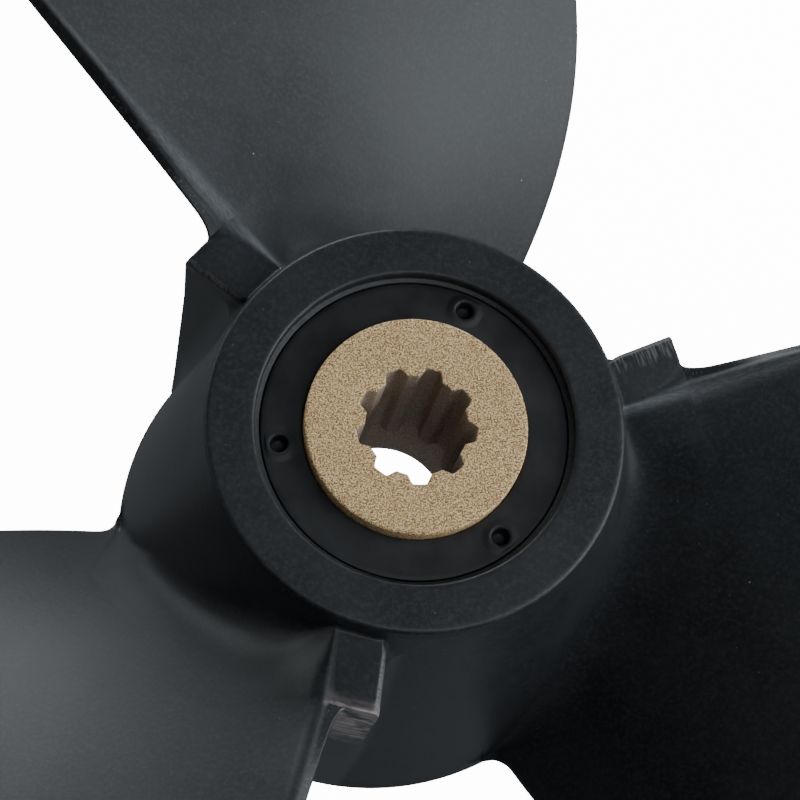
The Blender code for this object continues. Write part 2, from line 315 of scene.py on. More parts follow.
class BladeSheets:
    """The aft and forward faces of one blade, between the hub and the edge.

    A band of rows follows the edge from the trailing root over the tip to the leading root,
    and a patch of ACROSS by ALONG squares lies inside it. BAND holds the rows' distances.
    """

    BAND = (0.0, 0.04, 0.12, 0.24, 0.4, 0.6, 0.85, 1.5, 2.5, 3.8)
    ALONG = 44
    ACROSS = 72

    def __init__(self):
        self.inner = len(self.BAND) - 1
        self.total = 2 * self.ALONG + self.ACROSS
        self.edge = [self.edge_point(step) for step in range(self.total + 1)]
        fine = [self.edge_point(step / 6.0) for step in range(6 * self.total + 1)]
        self.edge_line = np.array([self.flat(radius, degrees) for radius, degrees in fine])
        self.forward_corner = NOTCH_ANGLE
        self.forward_corner = self.place(Vector(self.flat(*self.edge[0])), -1)[1]

    @staticmethod
    def flat(radius, degrees):
        return radius * math.cos(math.radians(degrees)), radius * math.sin(math.radians(degrees))

    def edge_point(self, step):
        """Radius and angle of the edge's middle line."""
        if step <= self.ALONG:
            share = (step / self.ALONG) ** TRAILING_CROWDING
            return mix(WALL_RADIUS, OUTLINE_RADIUS, share), TRAILING_ANGLE
        if step >= self.ALONG + self.ACROSS:
            share = ((self.total - step) / self.ALONG) ** LEADING_CROWDING
            radius = mix(WALL_RADIUS, OUTLINE_RADIUS, share)
            room = max(LEADING_ROOT_FILLET - (radius - WALL_RADIUS), 0.0)
            flare = LEADING_ROOT_FILLET - math.sqrt(LEADING_ROOT_FILLET ** 2 - room ** 2)
            return radius, leading_angle(radius) - math.degrees(LEADING_FLARE * flare / radius)
        turn = math.pi * (step - self.ALONG) / self.ACROSS
        radius = OUTLINE_RADIUS + (TIP_RADIUS - OUTLINE_RADIUS) * math.sin(turn)
        side = TRAILING_ANGLE
        if turn > math.pi / 2.0:
            slope = LEADING_TURN + 2.0 * LEADING_CURVE * (OUTLINE_RADIUS - SHAPE_RADIUS) / SHAPE_STEP
            side = leading_angle(OUTLINE_RADIUS) + slope * (radius - OUTLINE_RADIUS) / SHAPE_STEP
        return radius, mix(TIP_ANGLE, side, abs(math.cos(turn)))

    def root_radius(self, distance):
        """Where a face ends and its root fillet begins, at a distance from the nearer edge."""
        return WALL_RADIUS + FILLET * eased(distance, 0.0, FILLET_REACH)

    def band_point(self, step, row):
        """Plan place of a band vertex: square to the edge, but round the hub at the roots."""
        radius, degrees = self.edge[step]
        distance = self.BAND[row]
        here = Vector(self.flat(radius, degrees))
        before = Vector(self.flat(*self.edge[max(step - 1, 0)]))
        after = Vector(self.flat(*self.edge[min(step + 1, self.total)]))
        run = (after - before).normalized()
        square = here + Vector((run.y, -run.x)) * distance
        side = -1.0 if step < self.total / 2 else 1.0
        if step > self.ALONG + self.ACROSS:
            # Only the rows close to the edge follow its flare at the root
            degrees = mix(leading_angle(radius), degrees, math.exp(-distance / FLARE_FADE))
        start = self.root_radius(distance)
        share = (radius - WALL_RADIUS) / (OUTLINE_RADIUS - WALL_RADIUS)
        round_radius = mix(start, OUTLINE_RADIUS, share)
        round_degrees = degrees + side * math.degrees(distance / radius)
        round_hub = Vector(self.flat(round_radius, round_degrees))
        return round_hub.lerp(square, eased(radius - WALL_RADIUS, *ROUND_HUB))

    def patch_point(self, i, j, left, right, root, top):
        """A Coons patch between the band's inner line and the root."""
        u, v = i / self.ACROSS, j / self.ALONG
        corner = (root[0] * (1 - u) + root[-1] * u) * (1 - v) + (top[0] * (1 - u) + top[-1] * u) * v
        return left[j] * (1 - u) + right[j] * u + root[i] * (1 - v) + top[i] * v - corner

    def plan(self):
        """Plan places: the band as [step][row], the patch as [across][along]."""
        rows = range(self.inner + 1)
        band = [[self.band_point(step, row) for row in rows] for step in range(self.total + 1)]
        left = [band[j][-1] for j in range(self.ALONG + 1)]
        right = [band[self.total - j][-1] for j in range(self.ALONG + 1)]
        top = [band[self.ALONG + i][-1] for i in range(self.ACROSS + 1)]
        start = math.degrees(math.atan2(left[0].y, left[0].x))
        end = math.degrees(math.atan2(right[0].y, right[0].x))
        root = []
        for i in range(self.ACROSS + 1):
            degrees = mix(start, end, i / self.ACROSS)
            reach = min(start - degrees, degrees - end) * math.radians(WALL_RADIUS) + self.BAND[-1]
            root.append(Vector(self.flat(self.root_radius(reach), degrees)))
        patch = [[self.patch_point(i, j, left, right, root, top) for j in range(self.ALONG + 1)]
                 for i in range(self.ACROSS + 1)]
        return band, patch

    def edge_distance(self, point):
        return float(np.sqrt(((self.edge_line - (point.x, point.y)) ** 2).sum(1).min()))

    def half_thickness(self, radius, degrees, distance, side):
        """Rounded at the corner of the edge, and thicker towards the middle of the blade."""
        span = between(radius, WALL_RADIUS, TIP_RADIUS)
        leading = leading_angle(min(radius, OUTLINE_RADIUS))
        forwards = eased(degrees, TRAILING_ANGLE, leading)
        thinning = 1.0 - TRAILING_THINNING * span ** 0.5
        edge = mix(TRAILING_EDGE, LEADING_EDGE, forwards) * thinning
        middle = mix(ROOT_THICKNESS, TIP_THICKNESS, span)
        full = mix(edge, middle, 1.0 - (1.0 - min(distance / THICKENING, 1.0)) ** 2) / 2.0
        outward = eased(radius, *CORNER_RADII)
        trailing = mix(TRAILING_CORNER, OUTER_CORNER, outward) if side > 0 else FORWARD_CORNER
        corner = min(mix(trailing, LEADING_CORNER, forwards), CORNER_LIMIT * full)
        if distance >= corner:
            return full
        return full - corner + math.sqrt(corner ** 2 - (corner - distance) ** 2)

    def place(self, point, side):
        """Radius, angle and height of a plan point on the aft face (side 1) or the forward face (-1)."""
        radius = point.length
        plan_degrees = math.degrees(math.atan2(point.y, point.x))
        half = self.half_thickness(radius, plan_degrees, self.edge_distance(point), side)
        slope = math.atan2(PITCH, 2.0 * math.pi * radius)
        foot = leading_angle(radius) - LEADING_OVERHANG if radius < OUTLINE_RADIUS else plan_degrees
        height = middle_height(radius, max(plan_degrees, foot)) + side * half * math.cos(slope)
        degrees = plan_degrees - side * math.degrees(half * math.sin(slope) / radius)
        away = abs(TRAILING_ANGLE - plan_degrees)
        if side > 0:
            # The trailing edge comes down to the tab's height at its root
            outward = (radius - WALL_RADIUS) / ROOT_SINK_REACH
            height -= ROOT_SINK * math.exp(-outward ** 2 - (away / ROOT_SINK_WIDTH) ** 2)
            return radius, degrees, height
        # The forward corner swings into the notch beside the tab
        reach = between(radius, WALL_RADIUS, WALL_RADIUS + NOTCH_RADIUS)
        flare = (1.0 - math.sqrt(1.0 - (1.0 - reach) ** 2)) * math.exp(-away / NOTCH_WIDTH)
        return radius, degrees + (NOTCH_ANGLE - self.forward_corner) * flare, height - NOTCH_DROP * flare


class ThirdOfCasting:
    """One third of the hub with its blade, as one mesh from the middle of a gap to the next."""

    # Rows of a column: ring side, root fillet, floor, edge
    SIDE_ROWS, FILLET_ROWS, FLOOR_ROWS, EDGE_ROWS = 5, 7, 6, 4
    UNDER_ROWS, WALL_ROWS = 4, 10
    NOSE_ROWS = 6
    WEAR = ("tab_wear", "file_marks", "chamfer_wear", "end_marks", "ridge_wear", "nose_grit")
    # Where each kind of wear, and the painted light on the tab's wall, begins and where it is full: angles,
    # heights or radii
    TAB_START, TAB_END = (-11.5, -9.5), (0.6, 0.2)
    WORN_HEIGHTS, WORN_DEPTH = (-17.0, -14.0), 0.25
    FILED_HEIGHTS = (-4.0, -3.0)
    FILED_INSIDE, FILED_OUTSIDE = (RING_RADIUS + 0.4, RING_RADIUS + 0.9), (WALL_RADIUS, WALL_RADIUS - 0.5)
    CHAMFER_ANGLES, CHAMFER_RADII = (-1.1, -0.05), (RING_RADIUS + 0.6, RING_RADIUS + 2.1)
    CHAMFER_MARGIN = 0.05
    DRAGGED_HEIGHTS, DRAGGED_TOP = (-16.0, -12.0), TAB_HEIGHT - 0.1
    END_TOLERANCE = 0.03
    # Radii where the trailing edge's rubbed line and painted highlight narrow and fade, their widths and
    # places
    RUBBED_RADII, RUBBED_END = (27.0, 45.0), (44.0, 66.0)
    RUBBED_WIDTHS, RUBBED_PLACES = (0.75, 0.17), (0.45, 0.3)

    def __init__(self):
        self.bm = bmesh.new()
        self.layers = {name: self.bm.verts.layers.float.new(name) for name in self.WEAR}
        self.sheets = BladeSheets()
        self.columns = []
        self.angles = []

    def vertex(self, radius, degrees, height):
        """A vertex with the shares of wear and of painted light that the paint reads."""
        made = self.bm.verts.new(to_frame(radius, degrees, height))
        in_tab = eased(degrees, *self.TAB_START) * eased(degrees, *self.TAB_END)
        on_wall = math.exp(-((radius - WALL_RADIUS) / self.WORN_DEPTH) ** 2)
        on_top = eased(radius, *self.FILED_OUTSIDE) * eased(radius, *self.FILED_INSIDE)
        low, high = self.CHAMFER_ANGLES
        on_chamfer = low < degrees < high and height > TAB_HEIGHT - TAB_CHAMFER + self.CHAMFER_MARGIN
        on_end = abs(degrees) < self.END_TOLERANCE and height < self.DRAGGED_TOP
        # The tab's wall: bare metal, with painted light where it is paled
        self.wear(made, "tab_wear", on_wall * in_tab * eased(height, *self.WORN_HEIGHTS))
        self.wear(made, "file_marks", on_top * in_tab * eased(height, *self.FILED_HEIGHTS))
        self.wear(made, "chamfer_wear", on_chamfer * eased(radius, *self.CHAMFER_RADII))
        self.wear(made, "end_marks", on_end * eased(height, *self.DRAGGED_HEIGHTS))
        return made

    def wear(self, vertex, name, share):
        vertex[self.layers[name]] = share

    def ridge(self, radius, distance):
        """Rubbed paint and a painted highlight along the trailing edge at a distance from its corner, broad
        at the root and fine outside.
        """
        outward = eased(radius, *self.RUBBED_RADII)
        away = (distance - mix(*self.RUBBED_PLACES, outward)) / mix(*self.RUBBED_WIDTHS, outward)
        return math.exp(-away ** 2) * (1.0 - eased(radius, *self.RUBBED_END))

    def gap_join(self, degrees):
        """Height on the cone at which the blade's rows pass through the gap between two blades."""
        return mix(GAP_JOIN_NEAR, GAP_JOIN_FAR, eased(degrees % SECTOR, 0.0, GAP_TURN))

    def top_rows(self, end, floor_height, fillet, edge_round):
        """Radius and height from the ring's edge down its side and out to the end, rounded over or not."""
        end_radius, end_height = end
        corner = (cone_radius(floor_height), floor_height)
        room = abs(floor_height - RING_SIDE_TOP) * SIDE_SHARE
        size = min(fillet, room, max(end_radius - END_MARGIN - corner[0], LEAST_ROOM) * FILLET_SHARE)
        rise = max(size, min(fillet * 0.5, room))
        slope = 0.0
        if edge_round == 0.0:
            slope = (end_height - floor_height) / max(end_radius - corner[0], LEAST_ROOM)
        fillet_start = (cone_radius(floor_height + rise), floor_height + rise)
        fillet_end = (corner[0] + size, floor_height + slope * size)
        rows = line((cone_radius(RING_SIDE_TOP), RING_SIDE_TOP), fillet_start, self.SIDE_ROWS)
        rows += bend(fillet_start, corner, fillet_end, self.FILLET_ROWS)
        if edge_round == 0.0:
            near = (end_radius - TAB_EDGE, end_height - slope * TAB_EDGE)
            rows += line(fillet_end, near, self.FLOOR_ROWS)
            return rows + [(mix(near[0], end_radius, sine), mix(near[1], end_height, sine))
                           for sine, cosine in quarter(self.EDGE_ROWS)]
        shoulder = (end_radius - edge_round, floor_height)
        rows += line(fillet_end, shoulder, self.FLOOR_ROWS)
        return rows + [(shoulder[0] + edge_round * sine, shoulder[1] - edge_round * (1.0 - cosine))
                       for sine, cosine in quarter(self.EDGE_ROWS)]

    def cone_rows(self, join):
        """The same rows where there is only the cone."""
        lip = TAB_HEIGHT - TAB_CHAMFER
        heights = line((RING_SIDE_TOP,), (lip,), self.SIDE_ROWS)
        heights += line((lip,), (join,), self.FILLET_ROWS + self.FLOOR_ROWS + self.EDGE_ROWS)
        return [(cone_radius(height), height) for height, in heights]

    def lower_rows(self, start, wall):
        """From a point under the blade, or on the wall, to the rim. wall(height) is the wall's radius."""
        foot = -HUB_LENGTH + RIM_ROUND
        radius, height = start
        reach = radius - wall(height)
        corner = (wall(height), height - RAKE * max(reach, 0.0))
        size = max(min(reach * FILLET_SHARE, (corner[1] - foot) * 0.5), 0.0)
        near = (corner[0] + size, corner[1] + RAKE * size)
        below = (wall(corner[1] - size), corner[1] - size)
        rows = line(start, near, self.UNDER_ROWS) + bend(near, corner, below, self.FILLET_ROWS)
        return rows + [(wall(level), level) for level, in line((below[1],), (foot,), self.WALL_ROWS)]

    def ring_rows(self):
        """The ring's aft face, from its inner edge to its outer edge."""
        rows = [(RING_INNER_RADIUS + RING_INNER_EDGE * (1.0 - cosine), -RING_INNER_EDGE * (1.0 - sine))
                for sine, cosine in quarter(4, 0)]
        rows += [(radius, 0.0) for radius in RING_FACE_RADII]
        return rows + [(RING_RADIUS - RING_OUTER_EDGE * (1.0 - sine), -RING_OUTER_EDGE * (1.0 - cosine))
                       for sine, cosine in quarter(6)]

    def inner_rows(self, degrees):
        """Rim, forward hollow, boss and bore, back to the ring's inner side."""
        beside = abs((degrees - WEB_ANGLE + 0.5 * SECTOR) % SECTOR - 0.5 * SECTOR)
        flank = (WEB_HALF_WIDTH - 0.5 * WEB_FLANK, WEB_HALF_WIDTH + 0.5 * WEB_FLANK)
        floor = -mix(WEB_DEPTH, POCKET_DEPTH, eased(beside, *flank))
        rim = -HUB_LENGTH
        rows = [(RIM_RADIUS - RIM_ROUND * (1.0 - cosine), rim + RIM_ROUND * (1.0 - sine))
                for sine, cosine in quarter(6)]
        rows.append((RIM_FACE_RADIUS, rim))
        rows += [(POCKET_MOUTH_RADIUS + out, rim + up) for out, up in POCKET_EDGE]
        side = line((rim + POCKET_EDGE[-1][1],), (floor - POCKET_FLOOR_ROUND,), 6)
        rows += [(self.pocket_radius(height), height) for height, in side[:-1]]
        outer = self.pocket_radius(floor)
        rows += [(outer - POCKET_FLOOR_ROUND * (1.0 - cosine), floor - POCKET_FLOOR_ROUND * (1.0 - sine))
                 for sine, cosine in quarter(4, 0)]
        boss = mix(BOSS_RADIUS_TOP, BOSS_RADIUS_END, (-floor - POCKET_DEPTH) / (BOSS_DEPTH - POCKET_DEPTH))
        root = BOSS_EDGE * (0.5 if floor > -WEB_DEPTH else 0.25)
        rows += [(boss + BOSS_EDGE, floor), (boss, floor - root)]
        rows += line((boss, floor - BOSS_EDGE), (BOSS_RADIUS_END, -BOSS_DEPTH + 0.5 * BOSS_EDGE), 3)
        rows += [(BOSS_RADIUS_END - BOSS_EDGE, -BOSS_DEPTH), (BOSS_FACE_RADIUS, -BOSS_DEPTH)]
        bore_end = (BUSH_BORE_RADIUS, -BOSS_DEPTH + BORE_EDGE)
        rows += [(BUSH_BORE_RADIUS + BORE_EDGE, -BOSS_DEPTH), bore_end]
        rows += line(bore_end, (BUSH_BORE_RADIUS, -RECESS_DEPTH - RECESS_EDGE), 4)
        return rows + [(BUSH_BORE_RADIUS + RECESS_EDGE, -RECESS_DEPTH),
                       (RING_INNER_RADIUS - 0.5 * RECESS_EDGE, -RECESS_DEPTH),
                       (RING_INNER_RADIUS, -RECESS_DEPTH + 0.5 * RECESS_EDGE),
                       (RING_INNER_RADIUS, RING_INNER_SIDE)]

    @staticmethod
    def pocket_radius(height):
        share = (-height - POCKET_DEPTH) / (HUB_LENGTH - POCKET_DEPTH)
        return mix(POCKET_FLOOR_RADIUS, POCKET_MOUTH_RADIUS, share)

    def add_column(self, degrees, top, middle, lower):
        """Adds a closed column of vertices. Rows are (radius, height), or (radius, height, degrees)."""
        parts = {"ring": self.ring_rows(), "top": top, "middle": middle, "lower": lower,
                 "inner": self.inner_rows(degrees)}
        column = {name: [self.vertex(row[0], row[2] if len(row) > 2 else degrees, row[1]) for row in rows]
                  for name, rows in parts.items()}
        self.columns.append(column)
        self.angles.append(degrees)
        return column

    @staticmethod
    def swung(rows, near, far, power):
        """Rows whose angle goes from near at the ring to far at the last row."""
        last = rows[-1][0]
        return [(radius, height, mix(near, far, between(radius, RING_RADIUS, last) ** power))
                for radius, height in rows]

    def face(self, *corners):
        self.bm.faces.new(corners)

    def gap_rows(self, degrees):
        """The rows of a column on the cone."""
        join = self.gap_join(degrees)
        middle = [(cone_radius(height), height)
                  for height in (join - GAP_ROW_STEP * step for step in range(1, self.NOSE_ROWS + 1))]
        count = self.UNDER_ROWS + self.FILLET_ROWS + self.WALL_ROWS
        lower = [(cone_radius(height), height)
                 for height, in line((middle[-1][1],), (-HUB_LENGTH + RIM_ROUND,), count)]
        return self.cone_rows(join), middle, lower

    def raised(self, row, distance):
        """A point of the cone at a distance from the tab's end face, raised onto the fillet there."""
        radius, height = row
        lip = TAB_HEIGHT - TAB_CHAMFER
        room = (WALL_RADIUS - radius) * FOOT_SHARE
        size = min(TAB_FOOT_FILLET * eased(lip - height, 0.0, FOOT_FILLET_DROP), room)
        if distance < size:
            radius += size - math.sqrt(size ** 2 - (size - distance) ** 2)
        return radius, height, math.degrees(distance / row[0])

    def make_gap_and_face(self):
        """The cone between two blades, up to the fillet at the foot of the tab's end face."""
        for degrees in GAP_ANGLES:
            self.add_column(degrees, *self.gap_rows(degrees))
        for distance in FOOT_DISTANCES:
            parts = [[self.raised(row, distance) for row in rows] for rows in self.gap_rows(0.0)]
            self.add_column(math.degrees(distance / RING_RADIUS), *parts)
        return parts

    def tab_rows(self, degrees, height):
        """The tab's top, its rounded outer edge and its wall. Its end is a little rounded by the ring."""
        wall = mix(WALL_RADIUS, TAB_END_RADIUS, between(degrees, TAB_FLARE_ANGLE, 0.0))
        swing = TAB_END_SWING * between(degrees, TAB_END_ANGLE, 0.0)
        by_ring = RING_RADIUS + TAB_END_REACH
        top = [(radius, level, degrees - swing * max((by_ring - radius) / TAB_END_REACH, 0.0) ** 2)
               for radius, level in self.top_rows((wall, height), height, TAB_EDGE, TAB_EDGE)]
        levels = [height - TAB_EDGE - ROW_STEP * step for step in range(1, self.NOSE_ROWS + 1)]
        middle = [(wall_radius(level, wall), level) for level in levels]
        return top, middle, self.lower_rows(middle[-1], lambda level: wall_radius(level, wall))

    def make_tab(self, foot_rows):
        first = self.tab_rows(0.0, TAB_HEIGHT - TAB_CHAMFER)
        # The flat end face is spread between the fillet's last column and the tab's first
        for share in END_FACE_SHARES:
            spread = []
            for near, far in zip(foot_rows, first):
                spread.append([(mix(a[0], b[0], share), mix(a[1], b[1], share), share * sum(b[2:]))
                               for a, b in zip(near, far)])
            self.add_column(0.0, *spread)
        self.add_column(0.0, *first)
        for degrees, depth in TAB_COLUMNS:
            self.add_column(degrees, *self.tab_rows(degrees, TAB_HEIGHT - depth))

    @staticmethod
    def hollowed(rows, amount):
        """Rows that climb to the blade late, so that their slope meets that of the trailing edge."""
        rise = amount * (rows[-1][1] - TAB_HEIGHT)
        hollow = []
        for row in rows:
            way = between(row[0], RING_RADIUS, WALL_RADIUS)
            dip = rise * (way - way ** RIDGE_CURVE) if row[1] < FLOOR_TOP else 0.0
            hollow.append((row[0], row[1] - max(dip, 0.0), *row[2:]))
        return hollow

    def nose_rows(self, share, corner, aft):
        """The slope between the tab's top and the ridge, at a share of the way up."""
        edge = TAB_EDGE * (1.0 - share) ** 2
        height = mix(corner[2], aft[2], share)
        floor = TAB_HEIGHT - NOSE_SINK * (1.0 - share ** NOSE_SINK_CURVE)
        inner_angle = mix(NOSE_FOOT_ANGLE, aft[1], share)
        wall_angle = mix(corner[1], aft[1], share)
        rows = []
        for radius, level in self.top_rows((WALL_RADIUS, height + edge), floor, TAB_FILLET, 0.0):
            way = between(radius, RING_RADIUS, WALL_RADIUS)
            near_wall = eased(radius, WALL_RADIUS - RIDGE_REACH, WALL_RADIUS)
            over = max(radius - WALL_RADIUS + edge, 0.0)
            level -= edge - math.sqrt(max(edge ** 2 - over ** 2, 0.0))
            degrees = mix(inner_angle, wall_angle, near_wall) + NOSE_SWING * (1.0 - way)
            rows.append((radius, level, degrees))
        return rows

    def make_nose_columns(self, corner, aft):
        """Hub columns under the nose of the trailing edge, from its forward corner to its aft one."""
        self.nose = []
        for i in range(self.NOSE_ROWS):
            share = i / self.NOSE_ROWS
            base = mix(NOSE_FOOT_ANGLE, aft[1], share) + NOSE_SWING
            middle = [(WALL_RADIUS, corner[2], corner[1])] * self.NOSE_ROWS
            lower = self.turned_lower((WALL_RADIUS, corner[2]), wall_radius, corner[1], base)
            top = self.hollowed(self.nose_rows(share, corner, aft), share)
            column = self.add_column(base, top, middle, lower)
            for vertex in column["top"]:
                self.wear(vertex, "ridge_wear", self.ridge(WALL_RADIUS, RIDGE_REACH * (share - 1.0)))
            self.nose.append(column["top"][-1])

    def make_blade_columns(self, band, patch):
        """Hub columns under the edge's nose, the trailing band, the patch and the leading band."""
        sheets = self.sheets
        inner = sheets.inner
        root_plan = [band[0][row] for row in range(inner + 1)]
        root_plan += [patch[i][0] for i in range(1, sheets.ACROSS)]
        root_plan += [band[sheets.total][row] for row in range(inner, -1, -1)]
        aft = [sheets.place(point, 1) for point in root_plan]
        forward = [sheets.place(point, -1) for point in root_plan]
        self.make_nose_columns(forward[0], aft[0])
        taper = (RIM_RADIUS - RING_RADIUS) / HUB_LENGTH
        leading = leading_angle(WALL_RADIUS)
        lowest = aft[0][1] + LEAST_TURN
        blade = []
        for (radius, degrees, height), under in zip(aft, forward):
            lowest = min(degrees, lowest - LEAST_TURN)
            past = aft[0][1] - lowest
            base = lowest + NOSE_SWING * math.exp(-past / SWING_FADE)
            late = eased(past, 0.0, LATE_TURN)
            out = radius - RING_RADIUS
            rake = RAKE + (1.0 - late) * PITCH * (degrees - base) / 360.0 / out
            floor = (height - rake * out) / (1.0 + rake * taper)
            floor += max(TAB_HEIGHT - floor, 0.0) * math.exp(-(past / TAB_FADE) ** TAB_FADE_CURVE)
            fillet = TAB_FILLET + ROOT_FILLET * eased(past, 0.0, ROOT_FILLET_TURN)
            top = self.top_rows((radius, height), min(floor, FLOOR_TOP), fillet, 0.0)
            top = self.swung(top, base, degrees, 1.0 + LATE_POWER * late)
            top = self.hollowed(top, math.exp(-(past / HOLLOW_FADE) ** 2))
            middle = line((radius, height, degrees), (under[0], under[2], under[1]), self.NOSE_ROWS)
            end = eased(degrees - leading, *WALL_TURN)
            lower = self.turned_lower((under[0], under[2]),
                                      lambda level: mix(cone_radius(level), wall_radius(level), end),
                                      under[1], base)
            blade.append(self.add_column(base, top, middle, lower))
            for vertex in blade[-1]["top"][self.SIDE_ROWS:]:
                self.wear(vertex, "ridge_wear", self.ridge(WALL_RADIUS, math.radians(past) * WALL_RADIUS))
        self.last_rows = (top, middle, lower)
        return blade

    def turned_lower(self, start, wall, near_degrees, far_degrees):
        """The rows under the blade, whose angle goes to that of the column down the wall."""
        over_wall = self.UNDER_ROWS + self.FILLET_ROWS
        rows = []
        for number, (radius, height) in enumerate(self.lower_rows(start, wall)):
            share = max(0.0, (number + 1 - over_wall) / self.WALL_ROWS)
            rows.append((radius, height, mix(near_degrees, far_degrees, share)))
        return rows

    def make_far_gap(self):
        """The cone beyond the leading edge. Its rows and the edge's root fade into those of the gap."""
        start = self.angles[-1]
        places = [(away, start - math.degrees(away / WALL_RADIUS)) for away in FAR_DISTANCES]
        for away, degrees in places + [(FAR_GAP_DISTANCE, FAR_GAP_ANGLE)]:
            swell = max(1.0 - away / SWELL_REACH, 0.0) ** 2
            late = eased(degrees, start, FAR_GAP_ANGLE)
            faded = []
            for part, old_part in zip(self.gap_rows(degrees), self.last_rows):
                rows = []
                for row, (old_radius, old_height, old_degrees) in zip(part, old_part):
                    level = mix(old_height, row[1], late)
                    over = (old_radius - cone_radius(old_height)) * swell
                    rows.append((cone_radius(level) + over, level, degrees + (old_degrees - start) * swell))
                faded.append(rows)
            self.add_column(degrees, *faded)

    def make_sheet(self, band, patch, side, root):
        """One face of the blade. root holds the hub's vertices along it."""
        sheets = self.sheets
        inner = sheets.inner
        grid = {}
        for step in range(sheets.total + 1):
            for row in range(inner + 1):
                if step == 0:
                    grid[step, row] = root[row]
                elif step == sheets.total:
                    grid[step, row] = root[len(root) - 1 - row]
                else:
                    grid[step, row] = self.vertex(*sheets.place(band[step][row], side))
                    if side > 0 and step <= sheets.ALONG:
                        # Share of the rubbed line and its painted highlight
                        share = self.ridge(band[step][row].length, sheets.BAND[row])
                        self.wear(grid[step, row], "ridge_wear", share)
        inside = {}
        for i in range(sheets.ACROSS + 1):
            for j in range(sheets.ALONG + 1):
                if i == 0:
                    inside[i, j] = grid[j, inner]
                elif i == sheets.ACROSS:
                    inside[i, j] = grid[sheets.total - j, inner]
                elif j == sheets.ALONG:
                    inside[i, j] = grid[sheets.ALONG + i, inner]
                elif j == 0:
                    inside[i, j] = root[inner + i]
                else:
                    inside[i, j] = self.vertex(*sheets.place(patch[i][j], side))
        for step in range(sheets.total):
            for row in range(inner):
                self.face(grid[step, row], grid[step + 1, row],
                          grid[step + 1, row + 1], grid[step, row + 1])
        for i in range(sheets.ACROSS):
            for j in range(sheets.ALONG):
                self.face(inside[i, j], inside[i, j + 1], inside[i + 1, j + 1], inside[i + 1, j])
        return [grid[step, 0] for step in range(sheets.total + 1)]

    def make_nose(self, aft_line, forward_line, last_column):
        """The edge's flat face, between the corners of the two sheets."""
        previous = self.nose + [aft_line[0]]
        for step in range(1, self.sheets.total + 1):
            if step == self.sheets.total:
                middle = last_column["middle"]
                row = middle[::-1] + [aft_line[step]]
            else:
                low, high = forward_line[step].co, aft_line[step].co
                row = [forward_line[step]]
                for i in range(1, self.NOSE_ROWS):
                    row.append(self.bm.verts.new(low.lerp(high, i / self.NOSE_ROWS)))
                    self.wear(row[-1], "nose_grit", float(step <= self.sheets.ALONG))
                row.append(aft_line[step])
            for i in range(self.NOSE_ROWS):
                self.face(previous[i], row[i], row[i + 1], previous[i + 1])
            previous = row

    def build(self):
        band, patch = self.sheets.plan()
        self.make_tab(self.make_gap_and_face())
        tab_end = len(self.columns)
        blade = self.make_blade_columns(band, patch)
        self.make_far_gap()
        # The blade fills the middle rows of its columns
        top_end = len(blade[0]["ring"]) + len(blade[0]["top"]) - 1
        filled = (range(tab_end, tab_end + self.NOSE_ROWS + len(blade) - 1),
                  range(top_end, top_end + self.NOSE_ROWS))
        close_columns(self.bm, [sum(column.values(), []) for column in self.columns], filled)
        aft_root = [column["top"][-1] for column in blade]
        forward_root = [column["middle"][-1] for column in blade]
        # The forward corner's root is where the nose starts
        forward_root[0] = self.nose[0]
        aft_line = self.make_sheet(band, patch, 1, aft_root)
        forward_line = self.make_sheet(band, patch, -1, forward_root)
        self.make_nose(aft_line, forward_line, blade[-1])
        bmesh.ops.remove_doubles(self.bm, verts=self.bm.verts, dist=0.5 * SEAM_MERGE * MM)
        return finish_mesh(self.bm, "third_of_casting")


